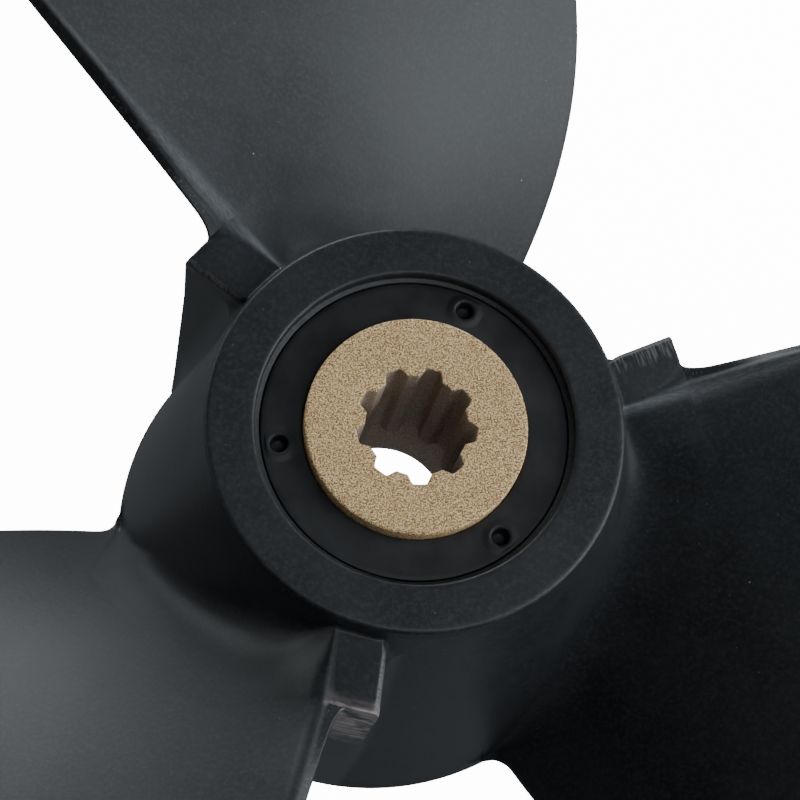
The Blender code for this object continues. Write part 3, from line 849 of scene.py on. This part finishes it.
class SleeveTooth:
    """One groove of the sleeve's bore, from the middle of a tooth to the middle of the next."""

    STEPS = 24
    # Shares at which a stretch of the section has its rows, and heights of the rows down the side
    EDGE_SHARES = (0.0, 0.35, 0.7, 1.0)
    FACE_SHARES = (0.12, 0.4, 0.7, 0.9)
    THROAT_SHARES = (0.1, 0.4, 0.7, 0.95, 1.0)
    SIDE_HEIGHTS = (-1.5, -12.0, -22.0)
    # How far the throat's cone keeps from the forward end and from the splines
    CONE_END = 0.2

    def bore(self, degrees):
        """The bore's radius in the splined stretch, at an angle from the groove's middle."""
        pitch = 360.0 / SPLINES
        side = between(abs(degrees) / pitch, GROOVE_FLOOR, GROOVE_MOUTH)
        softened = mix(side, eased(side, 0.0, 1.0), GROOVE_SOFTNESS)
        return mix(SPLINE_MAJOR_RADIUS, SPLINE_MINOR_RADIUS, softened)

    def rows(self, degrees):
        """Radius and height of a column, from the spline's forward end once round the section."""
        bore = self.bore(degrees)
        top, end, low = SLEEVE_PROUD, SLEEVE_PROUD - SPLINE_LENGTH, -SLEEVE_DEPTH
        mouth = (MOUTH_RADIUS, low + self.CONE_END)
        throat = (THROAT_RADIUS, end - self.CONE_END)
        rows = [(bore, end + 0.05), (bore, mix(end, top, 0.5)), (bore, top - 0.3)]
        rows += [(bore + MOUTH_EDGE * (1.0 - cosine), top - MOUTH_EDGE * (1.0 - sine))
                 for sine, cosine in turned(self.EDGE_SHARES)]
        rows += [(mix(bore, SLEEVE_RADIUS, share), top) for share in self.FACE_SHARES]
        rows += [(SLEEVE_RADIUS - SLEEVE_EDGE * (1.0 - sine), top - SLEEVE_EDGE * (1.0 - cosine))
                 for sine, cosine in quarter(4, 0)]
        rows += [(SLEEVE_RADIUS, height) for height in (*self.SIDE_HEIGHTS, low + 0.6, low + SLEEVE_EDGE)]
        rows.append((SLEEVE_RADIUS - 0.07, low + 0.07))
        rows += [(radius, low) for radius in (SLEEVE_RADIUS - SLEEVE_EDGE, SLEEVE_RADIUS - 0.6, 8.6,
                                              MOUTH_RADIUS + 0.5, MOUTH_RADIUS + 0.2)]
        rows += [(MOUTH_RADIUS + 0.06, low + 0.06), mouth]
        rows += [(mix(mouth[0], throat[0], share), mix(mouth[1], throat[1], share))
                 for share in self.THROAT_SHARES]
        return rows + [(THROAT_RADIUS - 0.04, end - 0.06), (mix(THROAT_RADIUS, bore, 0.5), end),
                       (bore + 0.08, end)]

    def build(self):
        bm = bmesh.new()
        in_bore = bm.verts.layers.float.new("in_bore")
        pitch = 360.0 / SPLINES
        columns = []
        for step in range(self.STEPS + 1):
            degrees = pitch * (step / self.STEPS - 0.5)
            angle = math.radians(SPLINE_ANGLE + degrees)
            column = []
            for radius, height in self.rows(degrees):
                place = Vector((radius * math.cos(angle), radius * math.sin(angle), LEVEL + height)) * MM
                made = bm.verts.new(place)
                inside = radius < MOUTH_RADIUS + 0.1 and height < SLEEVE_PROUD - 0.12
                made[in_bore] = inside * (1.0 if height > SLEEVE_PROUD - SPLINE_LENGTH else THROAT_OIL)
                column.append(made)
            columns.append(column)
        close_columns(bm, columns)
        return finish_mesh(bm, "tooth_of_sleeve")


class ThirdOfBushing:
    """A third of the bushing, with one lipped dimple in the middle of its aft face."""

    GAP = 0.08
    # Broken edges of the aft face and the forward end, and rows close to them that hold the shading
    INNER_EDGE, OUTER_EDGE, END_EDGE = 0.12, 0.1, 0.15
    HELD, END_HELD = 0.5, 0.4
    ARC_STEPS = 12
    SIDE_STEPS = 17
    ROWS = 8
    # Half the angle of the window that the dimple fills, and the most of it that its rings take
    WINDOW = 8.5
    WINDOW_SHARES = (0.6, 0.9)
    # Distance from the dimple's middle as a share of its radius, and height over the face
    DIMPLE = ((2.35, 0.0), (2.1, 0.02), (1.85, 0.07), (1.6, 0.13), (1.38, 0.16), (1.2, 0.14), (1.06, 0.05),
              (1.0, -0.1), (0.98, -0.45), (0.96, -1.05), (0.85, -1.25), (0.6, -1.3))

    @staticmethod
    def place(radius, degrees, height):
        angle = math.radians(DIMPLE_ANGLE + degrees)
        level = LEVEL - RECESS_DEPTH + height
        return Vector((radius * math.cos(angle), radius * math.sin(angle), level)) * MM

    def build(self):
        bm = bmesh.new()
        inner, outer = SLEEVE_RADIUS + self.GAP, BUSH_BORE_RADIUS - self.GAP
        window = [self.WINDOW * (2.0 * step / self.ARC_STEPS - 1.0) for step in range(self.ARC_STEPS + 1)]
        beside = [degrees for degrees, in line((self.WINDOW,), (180.0 / DIMPLES,), self.SIDE_STEPS)]
        angles = [-degrees for degrees in reversed(beside)] + window + beside
        depth = BUSHING_DEPTH - RECESS_DEPTH
        near, far = inner + self.INNER_EDGE, outer - self.OUTER_EDGE
        rows = [(mix(near, far, step / self.ROWS), 0.0) for step in range(self.ROWS + 1)]
        rows += [(outer - 0.03, -0.03), (outer, -self.OUTER_EDGE), (outer, -self.HELD)]
        rows += [(outer, -0.5 * depth), (outer, self.END_HELD - depth), (outer, self.END_EDGE - depth)]
        rows += [(radius, -depth) for radius in (outer - self.END_EDGE, outer - self.HELD,
                                                 inner + self.HELD, inner + self.END_EDGE)]
        rows += [(inner, self.END_EDGE - depth), (inner, self.END_HELD - depth), (inner, -0.5 * depth)]
        rows += [(inner, -self.HELD), (inner, -self.INNER_EDGE), (inner + 0.04, -0.03)]
        columns = [[bm.verts.new(self.place(radius, degrees, height)) for radius, height in rows]
                   for degrees in angles]
        first = angles.index(window[0])
        last = first + self.ARC_STEPS
        close_columns(bm, columns, (range(first, last), range(self.ROWS)))
        # The window's edge, once round
        edge = [columns[number][0] for number in range(first, last)]
        edge += [columns[last][row] for row in range(self.ROWS)]
        edge += [columns[number][self.ROWS] for number in range(last, first, -1)]
        edge += [columns[first][row] for row in range(self.ROWS, 0, -1)]
        centre = self.place(DIMPLE_CIRCLE_RADIUS, 0.0, 0.0)
        outer_ring = edge
        largest = self.DIMPLE[0][0]
        for share, height in self.DIMPLE:
            ring = []
            for corner in edge:
                away = corner.co - centre
                away.z = 0.0
                room = away.length * mix(*self.WINDOW_SHARES, share / largest)
                reach = min(share * DIMPLE_RADIUS * MM, room)
                lift = Vector((0.0, 0.0, height * MM))
                ring.append(bm.verts.new(centre + away.normalized() * reach + lift))
            for i in range(len(ring)):
                j = (i + 1) % len(ring)
                bm.faces.new((outer_ring[i], outer_ring[j], ring[j], ring[i]))
            outer_ring = ring
        bm.faces.new(outer_ring)
        return finish_mesh(bm, "third_of_bushing")


def repeat_tree():
    """Geometry Nodes: repeats a sector about the shaft, joins the seams and gives the finish."""
    tree = bpy.data.node_groups.new("repeat_about_shaft", "GeometryNodeTree")
    inputs = (("Sector", "NodeSocketGeometry"), ("Count", "NodeSocketInt"),
              ("Merge Distance", "NodeSocketFloat"), ("Finish", "NodeSocketMaterial"))
    for name, kind in inputs:
        tree.interface.new_socket(name, in_out="INPUT", socket_type=kind)
    tree.interface.new_socket("Whole", in_out="OUTPUT", socket_type="NodeSocketGeometry")
    nodes = Nodes(tree)
    given = tree.nodes.new("NodeGroupInput").outputs
    sector, count, merge, finish = [Wire(nodes, given[name]) for name, kind in inputs]
    points = nodes.node("GeometryNodePoints", 0, None, {"Count": count})
    angle = nodes.node("GeometryNodeInputIndex", 0) * (math.tau / count)
    about_z = nodes.node("ShaderNodeCombineXYZ", 0, None, {"Z": angle})
    rotation = nodes.node("FunctionNodeEulerToRotation", 0, None, {0: about_z})
    placed = nodes.node("GeometryNodeInstanceOnPoints", 0, None,
                        {"Points": points, "Instance": sector, "Rotation": rotation})
    real = nodes.node("GeometryNodeRealizeInstances", 0, None, {0: placed})
    joined = nodes.node("GeometryNodeMergeByDistance", 0, None, {"Geometry": real, "Distance": merge})
    smoothed = nodes.node("GeometryNodeSetShadeSmooth", 0, None, {"Geometry": joined, "Shade Smooth": True})
    finished = nodes.node("GeometryNodeSetMaterial", 0, None, {"Geometry": smoothed, "Material": finish})
    nodes.node("NodeGroupOutput", None, None, {"Whole": finished})
    return tree


def repeated(tree, sector, name, count, finish):
    """A piece made of count copies of a sector, as a plain mesh."""
    obj = bpy.data.objects.new(name, sector)
    bpy.context.scene.collection.objects.link(obj)
    modifier = obj.modifiers.new("repeat", "NODES")
    modifier.node_group = tree
    inputs = [item for item in tree.interface.items_tree if item.in_out == "INPUT"]
    sockets = {item.name: item.identifier for item in inputs}
    modifier[sockets["Count"]] = count
    modifier[sockets["Merge Distance"]] = SEAM_MERGE * MM
    modifier[sockets["Finish"]] = finish
    weighted = obj.modifiers.new("even_shading", "WEIGHTED_NORMAL")
    weighted.keep_sharp = True
    graph = bpy.context.evaluated_depsgraph_get()
    whole = bpy.data.meshes.new_from_object(obj.evaluated_get(graph), depsgraph=graph)
    obj.modifiers.clear()
    obj.data = whole
    whole.name = name
    return obj


class Wire:
    """An output of a node. Arithmetic on it adds Math nodes."""

    def __init__(self, nodes, socket):
        self.nodes = nodes
        self.socket = socket

    def math(self, operation, first, second):
        return self.nodes.node("ShaderNodeMath", 0, {"operation": operation}, {0: first, 1: second})

    def __add__(self, other):
        return self.math("ADD", self, other)

    __radd__ = __add__

    def __sub__(self, other):
        return self.math("SUBTRACT", self, other)

    def __rsub__(self, other):
        return self.math("SUBTRACT", other, self)

    def __mul__(self, other):
        return self.math("MULTIPLY", self, other)

    __rmul__ = __mul__

    def __rtruediv__(self, other):
        return self.math("DIVIDE", other, self)

    def __pow__(self, other):
        return self.math("POWER", self, other)

    def between(self, low, high):
        """0 below low, 1 above high, eased."""
        return self.nodes.node("ShaderNodeMapRange", 0, {"interpolation_type": "SMOOTHSTEP"},
                               {"Value": self, "From Min": low, "From Max": high})


class Nodes:
    """A node tree, with the one method that adds a node to it."""

    def __init__(self, tree):
        self.tree = tree

    def node(self, kind, output, settings=None, inputs=None):
        """A node with its settings and its sockets' values or links. Gives one output, or none."""
        made = self.tree.nodes.new(kind)
        for key, value in (settings or {}).items():
            if key == "stops":
                self.set_stops(made.color_ramp, value)
            else:
                setattr(made, key, value)
        for key, value in (inputs or {}).items():
            if isinstance(value, Wire):
                self.tree.links.new(value.socket, made.inputs[key])
            else:
                made.inputs[key].default_value = value
        return None if output is None else Wire(self, made.outputs[output])

    @staticmethod
    def set_stops(ramp, stops):
        while len(ramp.elements) < len(stops):
            ramp.elements.new(0.5)
        for element, (position, colour) in zip(ramp.elements, stops):
            element.position = position
            element.color = (*colour, 1.0)


class Finish(Nodes):
    """A material and its node tree."""

    # Degrees over which a range of angles fades at each end
    ANGLE_EDGE = 2.0

    def __init__(self, name):
        self.material = bpy.data.materials.new(name)
        self.material.use_nodes = True
        super().__init__(self.material.node_tree)
        self.tree.nodes.clear()
        self.place = self.node("ShaderNodeTexCoord", "Object")

    def attribute(self, name):
        return self.node("ShaderNodeAttribute", "Fac", {"attribute_name": name})

    def axis(self, name):
        return self.node("ShaderNodeSeparateXYZ", name, None, {"Vector": self.place})

    def turn(self):
        """The angle about the shaft, in radians."""
        return self.axis("Y").math("ARCTAN2", self.axis("Y"), self.axis("X"))

    def polar(self):
        """Distance from the shaft, way round it and height, in metres near the tabs."""
        x, y = self.axis("X"), self.axis("Y")
        around = {"X": (x * x + y * y) ** 0.5, "Y": self.turn() * (WALL_RADIUS * MM), "Z": self.axis("Z")}
        return self.node("ShaderNodeCombineXYZ", 0, None, around)

    def only_between(self, low, high):
        """1 where the angle about the shaft lies between two values in degrees."""
        turn = self.turn()
        edge, low, high = math.radians(self.ANGLE_EDGE), math.radians(low), math.radians(high)
        return turn.between(low - edge, low) * (1.0 - turn.between(high, high + edge))

    def noise(self, size, detail=3.0, roughness=0.5, place=None):
        """Noise whose features are about size millimetres, or have a size along each axis."""
        place = place or self.place
        scale = 1.0
        if isinstance(size, tuple):
            sizes = tuple(1.0 / (part * MM) for part in size)
            place = self.node("ShaderNodeMapping", "Vector", None, {"Vector": place, "Scale": sizes})
        else:
            scale = 1.0 / (size * MM)
        return self.node("ShaderNodeTexNoise", "Fac", None,
                         {"Vector": place, "Scale": scale, "Detail": detail, "Roughness": roughness})

    def cells(self, size, output="Distance"):
        """Cells about size millimetres across."""
        return self.node("ShaderNodeTexVoronoi", output, None,
                         {"Vector": self.place, "Scale": 1.0 / (size * MM)})

    def specks(self, size, low, high):
        """Spots in the middles of cells, from low to high as shares of a cell."""
        return 1.0 - self.cells(size).between(low, high)

    def blend(self, factor, low, high):
        """A colour between two colours."""
        low, high = [(*colour, 1.0) if isinstance(colour, tuple) else colour for colour in (low, high)]
        return self.node("ShaderNodeMix", 2, {"data_type": "RGBA"}, {"Factor": factor, 6: low, 7: high})

    def bump(self, height, depth, strength, below=None):
        """Relief of depth millimetres, on top of another relief where one is given."""
        inputs = {"Height": height, "Distance": depth * MM, "Strength": strength}
        if below is not None:
            inputs["Normal"] = below
        return self.node("ShaderNodeBump", "Normal", None, inputs)

    def close(self, **inputs):
        """Adds the surface. Keywords are its sockets' names with low lines for spaces."""
        named = {key.replace("_", " "): value for key, value in inputs.items()}
        surface = self.node("ShaderNodeBsdfPrincipled", "BSDF", None, named)
        self.node("ShaderNodeOutputMaterial", None, None, {"Surface": surface})
        return self.material


# Colours of the paint
PAINT_DARK = (0.0085, 0.0095, 0.0115)
PAINT_LIGHT = (0.017, 0.0185, 0.021)
PAINT_GRAIN = (0.034, 0.036, 0.040)
DUST = (0.16, 0.165, 0.175)
SPECK = (0.42, 0.42, 0.43)
# Lighter rubbed paint, which also stands for a painted highlight on the trailing edges
RUBBED_EDGE = (0.095, 0.10, 0.108)
GRIT = (0.12, 0.122, 0.125)
# Bare dressed metal, paled further as painted light where the lamps leave the wall dim
BRUSHED_DARK = (0.26, 0.21, 0.20)
BRUSHED_LIGHT = (0.85, 0.74, 0.73)
FILED = (0.15, 0.145, 0.155)
NICKED = (0.11, 0.105, 0.105)
DRAGGED = (0.05, 0.055, 0.06)
# Colours of the rubber and the bronze
RUBBER_DARK = (0.006, 0.0065, 0.008)
RUBBER_LIGHT = (0.016, 0.017, 0.019)
RUBBER_DUST = (0.08, 0.08, 0.085)
SAND_STOPS = ((0.1, (0.15, 0.075, 0.025)), (0.36, (0.50, 0.28, 0.115)),
              (0.6, (0.93, 0.60, 0.28)), (0.85, (1.0, 0.865, 0.54)))
SAND_CLOUD = (0.42, 0.26, 0.13)
OIL_DARK = (0.30, 0.22, 0.165)
OIL_LIGHT = (0.66, 0.54, 0.43)
# Angles about the shaft, in degrees: worn wall of the lower tab, paled further as painted light, filed top
# of the right tab, and the upper and right blades, whose rubbed trailing edges carry a painted highlight
WORN_WALL = (-122.0, -98.0)
FILED_TOP = (12.5, 16.5)
RUBBED_BLADES = (-85.0, 160.0)


def satin_black():
    """Satin black paint on a casting, worn on the dressed tabs, with painted light on the lower tab's wall
    and a painted highlight on the upper and right trailing edges.
    """
    paint = Finish("satin_black_paint")
    mottle = paint.noise(7.0, 5.0, 0.65)
    fine = paint.noise(0.45, 4.0, 0.65)
    cloud = paint.noise(22.0, 2.0, 0.5)
    polar = paint.polar()
    base = paint.blend(mottle.between(0.3, 0.7), PAINT_DARK, PAINT_LIGHT)
    base = paint.blend(fine.between(0.4, 0.75) * 0.8, base, PAINT_GRAIN)
    dust = paint.specks(1.5, 0.03, 0.06) * paint.noise(12.0, 3.0).between(0.45, 0.6)
    specks = paint.specks(4.3, 0.014, 0.026) * paint.noise(5.0, 2.0).between(0.5, 0.55)
    base = paint.blend(dust * 0.7, base, DUST)
    base = paint.blend(specks * 0.9, base, SPECK)
    # Rubbed paint with a painted highlight along the upper and right trailing edges, where the light falls,
    # and grit on the edges' flat faces
    streaks = paint.noise((0.9, 0.12, 0.3), 3.0, 0.65, polar)
    ridge = paint.attribute("ridge_wear") * paint.only_between(*RUBBED_BLADES)
    base = paint.blend(ridge * streaks.between(0.1, 0.7), base, RUBBED_EDGE)
    grit = paint.specks(0.3, 0.15, 0.4) * paint.noise(1.6, 3.0).between(0.38, 0.6)
    grit = grit * paint.attribute("nose_grit")
    base = paint.blend(grit * 0.8, base, GRIT)
    # Dressed wall of the lower tab, with lines across it: bare metal, paled further as painted light where
    # the lamps leave it dim
    lines = paint.noise((0.6, 7.0, 0.28), 4.0, 0.6, polar)
    worn = paint.noise(2.2, 4.0, 0.6).between(0.33, 0.6)
    patch = paint.attribute("tab_wear") * paint.only_between(*WORN_WALL) * worn
    brushed = paint.blend(lines.between(0.36, 0.62), BRUSHED_DARK, BRUSHED_LIGHT)
    base = paint.blend(patch * 0.95, base, brushed)
    # File marks on the right tab, square to its chamfer
    marks = paint.noise((0.22, 2.6, 2.6), 3.0, 0.55, polar).between(0.45, 0.62)
    filed = paint.attribute("file_marks") * paint.only_between(*FILED_TOP) * marks
    base = paint.blend(filed * 0.75, base, FILED)
    # Chamfers with nicks, and drag marks on the end faces
    nicks = paint.noise((0.25, 0.5, 0.5), 3.0, 0.6, polar).between(0.3, 0.55)
    chamfer = paint.attribute("chamfer_wear") * nicks
    base = paint.blend(chamfer * 0.8, base, NICKED)
    drag = paint.noise((3.2, 3.2, 0.35), 3.0, 0.55, polar).between(0.42, 0.68)
    dragged = paint.attribute("end_marks") * drag
    base = paint.blend(dragged * 0.35, base, DRAGGED)
    roughness = 0.38 + mottle * 0.10 + fine * 0.08 + patch * 0.12 + cloud * 0.05 + chamfer * 0.08
    relief = paint.bump(paint.noise(2.2, 4.0, 0.6), 0.06, 0.5)
    relief = paint.bump(fine, 0.02, 0.7, relief)
    relief = paint.bump(lines * patch + marks * filed, 0.03, 0.7, relief)
    return paint.close(Base_Color=base, Roughness=roughness, Normal=relief)


def black_rubber():
    """Moulded rubber with uneven dark patches."""
    rubber = Finish("black_rubber")
    fine = rubber.noise(0.3, 3.0, 0.6)
    cloud = rubber.noise(3.2, 4.0, 0.6)
    base = rubber.blend(cloud.between(0.35, 0.65), RUBBER_DARK, RUBBER_LIGHT)
    dust = rubber.specks(1.8, 0.03, 0.06) * rubber.noise(6.0, 2.0).between(0.5, 0.6)
    base = rubber.blend(dust * 0.4, base, RUBBER_DUST)
    relief = rubber.bump(cloud, 0.03, 0.4)
    relief = rubber.bump(fine, 0.012, 0.5, relief)
    return rubber.close(Base_Color=base, Roughness=0.46 + cloud * 0.16 + fine * 0.05, Normal=relief)


def sintered_bronze():
    """Sandy sintered metal, with a dark oily bore."""
    bronze = Finish("sintered_bronze")
    tone = bronze.node("ShaderNodeSeparateColor", 0, None, {"Color": bronze.cells(0.15, "Color")})
    grain = bronze.noise(0.15, 2.0, 0.6)
    cloud = bronze.noise(2.5, 3.0, 0.6)
    bore = bronze.attribute("in_bore")
    shade = tone * 0.4 + grain.between(0.36, 0.64) * 0.6
    base = bronze.node("ShaderNodeValToRGB", "Color", {"stops": SAND_STOPS}, {"Fac": shade})
    base = bronze.blend(cloud.between(0.4, 0.7) * 0.12, base, SAND_CLOUD)
    oily = bronze.blend(grain.between(0.4, 0.66), OIL_DARK, OIL_LIGHT)
    base = bronze.blend(bore * 0.95, base, oily)
    relief = bronze.bump(grain, 0.09, 0.9)
    roughness = 0.5 + tone * 0.15 + bore * 0.05
    return bronze.close(Base_Color=base, Roughness=roughness, Metallic=0.15 + tone * 0.1, Normal=relief)


# Camera, measured on the photograph of 800 pixels a side
PHOTO_PIXELS = 800.0
FOCAL_PIXELS = 2700.0
PIXELS_PER_MM = 10.8
RING_MIDDLE = (416.6, 426.0)
LENS_TILT = 18.8
TILT_DIRECTION = 111.7
LENS_TURN = 6.2
SENSOR = 36.0

# Soft boxes: direction about the shaft and over the floor in degrees, and power in watts
SOFT_BOXES = (("right_low_box", 0.0, 10.0, 1.9), ("right_box", 0.0, 33.0, 1.1),
              ("right_high_box", 0.0, 52.0, 0.35), ("right_upper_box", 48.0, 10.0, 1.05),
              ("top_box", 96.0, 10.0, 3.65), ("upper_left_box", 135.0, -6.0, 0.85),
              ("left_box", 168.0, 10.0, 0.5), ("lower_right_box", 330.0, 30.0, 2.4),
              ("low_right_box", 336.0, 10.0, 1.0), ("over_box", 290.0, 68.0, 1.4))
BOX_SIZE = 0.3
BOX_DISTANCE = 0.8
BOX_COLOUR = (0.90, 0.96, 1.0)
ROOM_COLOUR = (0.86, 0.94, 1.0, 1.0)
ROOM_LIGHT = 0.03
# Light that the pale paper throws up from below, and its directions' range
PAPER_LIGHT = 0.22
PAPER_START = -0.2
PAPER_FULL = -0.6
FLOOR_GLOW = 14.0
FLOOR_GAP = 0.2
FLOOR_HALF_WIDTH = 3.0
PAPER_DARK = (0.86, 0.86, 0.86)
PAPER_PALE = (0.88, 0.88, 0.88)


def place_camera():
    """Looks down the shaft from the aft end, tilted as on the photograph."""
    tilt, direction = math.radians(LENS_TILT), math.radians(TILT_DIRECTION)
    aside = math.sin(tilt)
    shaft = Vector((aside * math.cos(direction), aside * math.sin(direction), math.cos(tilt)))
    swing = Vector((0.0, 0.0, -1.0)).rotation_difference(-shaft)
    turn = math.radians(LENS_TURN)
    level, upright = swing @ Vector((1.0, 0.0, 0.0)), swing @ Vector((0.0, -1.0, 0.0))
    across = math.cos(turn) * level + math.sin(turn) * upright
    along = math.cos(turn) * upright - math.sin(turn) * level
    right = Vector((across.x, along.x, -shaft.x))
    down = Vector((across.y, along.y, -shaft.y))
    away = Vector((across.z, along.z, -shaft.z))
    half = PHOTO_PIXELS / 2.0
    shift = (RING_MIDDLE[0] - half) * right + (RING_MIDDLE[1] - half) * down + FOCAL_PIXELS * away
    data = bpy.data.cameras.new("camera")
    data.sensor_width = SENSOR
    data.lens = FOCAL_PIXELS / PHOTO_PIXELS * SENSOR
    data.clip_start = 10.0 * MM
    camera = bpy.data.objects.new("camera", data)
    placed = Matrix((right, -down, -away)).transposed().to_4x4()
    placed.translation = Vector((0.0, 0.0, LEVEL * MM)) - shift / PIXELS_PER_MM * MM
    camera.matrix_world = placed
    bpy.context.scene.collection.objects.link(camera)
    bpy.context.scene.camera = camera


def add_soft_box(name, turn, rise, power):
    """A square lamp that faces the hub."""
    turn, rise = math.radians(turn), math.radians(rise)
    level = math.cos(rise)
    towards = Vector((level * math.cos(turn), level * math.sin(turn), math.sin(rise)))
    data = bpy.data.lights.new(name, "AREA")
    data.shape = "RECTANGLE"
    data.size = BOX_SIZE
    data.size_y = BOX_SIZE
    data.energy = power
    data.color = BOX_COLOUR
    lamp = bpy.data.objects.new(name, data)
    lamp.location = towards.normalized() * BOX_DISTANCE
    lamp.rotation_euler = towards.to_track_quat("Z", "Y").to_euler()
    bpy.context.scene.collection.objects.link(lamp)


def light_studio():
    """Soft boxes low round the part, in a dim room that is brighter towards the floor."""
    for box in SOFT_BOXES:
        add_soft_box(*box)
    world = bpy.data.worlds.new("studio")
    world.use_nodes = True
    room = Nodes(world.node_tree)
    place = room.node("ShaderNodeTexCoord", "Generated")
    height = room.node("ShaderNodeSeparateXYZ", "Z", None, {"Vector": place})
    strength = height.between(PAPER_START, PAPER_FULL) * PAPER_LIGHT + ROOM_LIGHT
    background = world.node_tree.nodes["Background"]
    background.inputs["Color"].default_value = ROOM_COLOUR
    world.node_tree.links.new(strength.socket, background.inputs["Strength"])
    bpy.context.scene.world = world


def add_floor():
    """A plain pale floor under the rim, bright to the lens only. The room's light from below stands
    for the light that it throws on the part.
    """
    bm = bmesh.new()
    bmesh.ops.create_grid(bm, x_segments=4, y_segments=4, size=FLOOR_HALF_WIDTH)
    floor = bpy.data.objects.new("floor", finish_mesh(bm, "floor"))
    for vertex in floor.data.vertices:
        vertex.co.z += (LEVEL - HUB_LENGTH - FLOOR_GAP) * MM
    bpy.context.scene.collection.objects.link(floor)
    floor.visible_glossy = False
    floor.visible_diffuse = False
    plain = Finish("floor_paper")
    tone = plain.noise(300.0, 2.0)
    colour = plain.blend(tone, PAPER_DARK, PAPER_PALE)
    paper = plain.close(Base_Color=colour, Roughness=0.9, Emission_Color=(1.0, 1.0, 1.0, 1.0),
                        Emission_Strength=FLOOR_GLOW)
    floor.data.materials.append(paper)


place_camera()
light_studio()
add_floor()

tree = repeat_tree()
casting = repeated(tree, ThirdOfCasting().build(), "painted_casting", THIRDS, satin_black())
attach(casting, "root")
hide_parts("hub_and_blades")
bushing = repeated(tree, ThirdOfBushing().build(), "moulded_bushing", DIMPLES, black_rubber())
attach(bushing, "root")
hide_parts("rubber_bushing")
sleeve = repeated(tree, SleeveTooth().build(), "sintered_sleeve", SPLINES, sintered_bronze())
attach(sleeve, "root")
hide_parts("splined_sleeve")
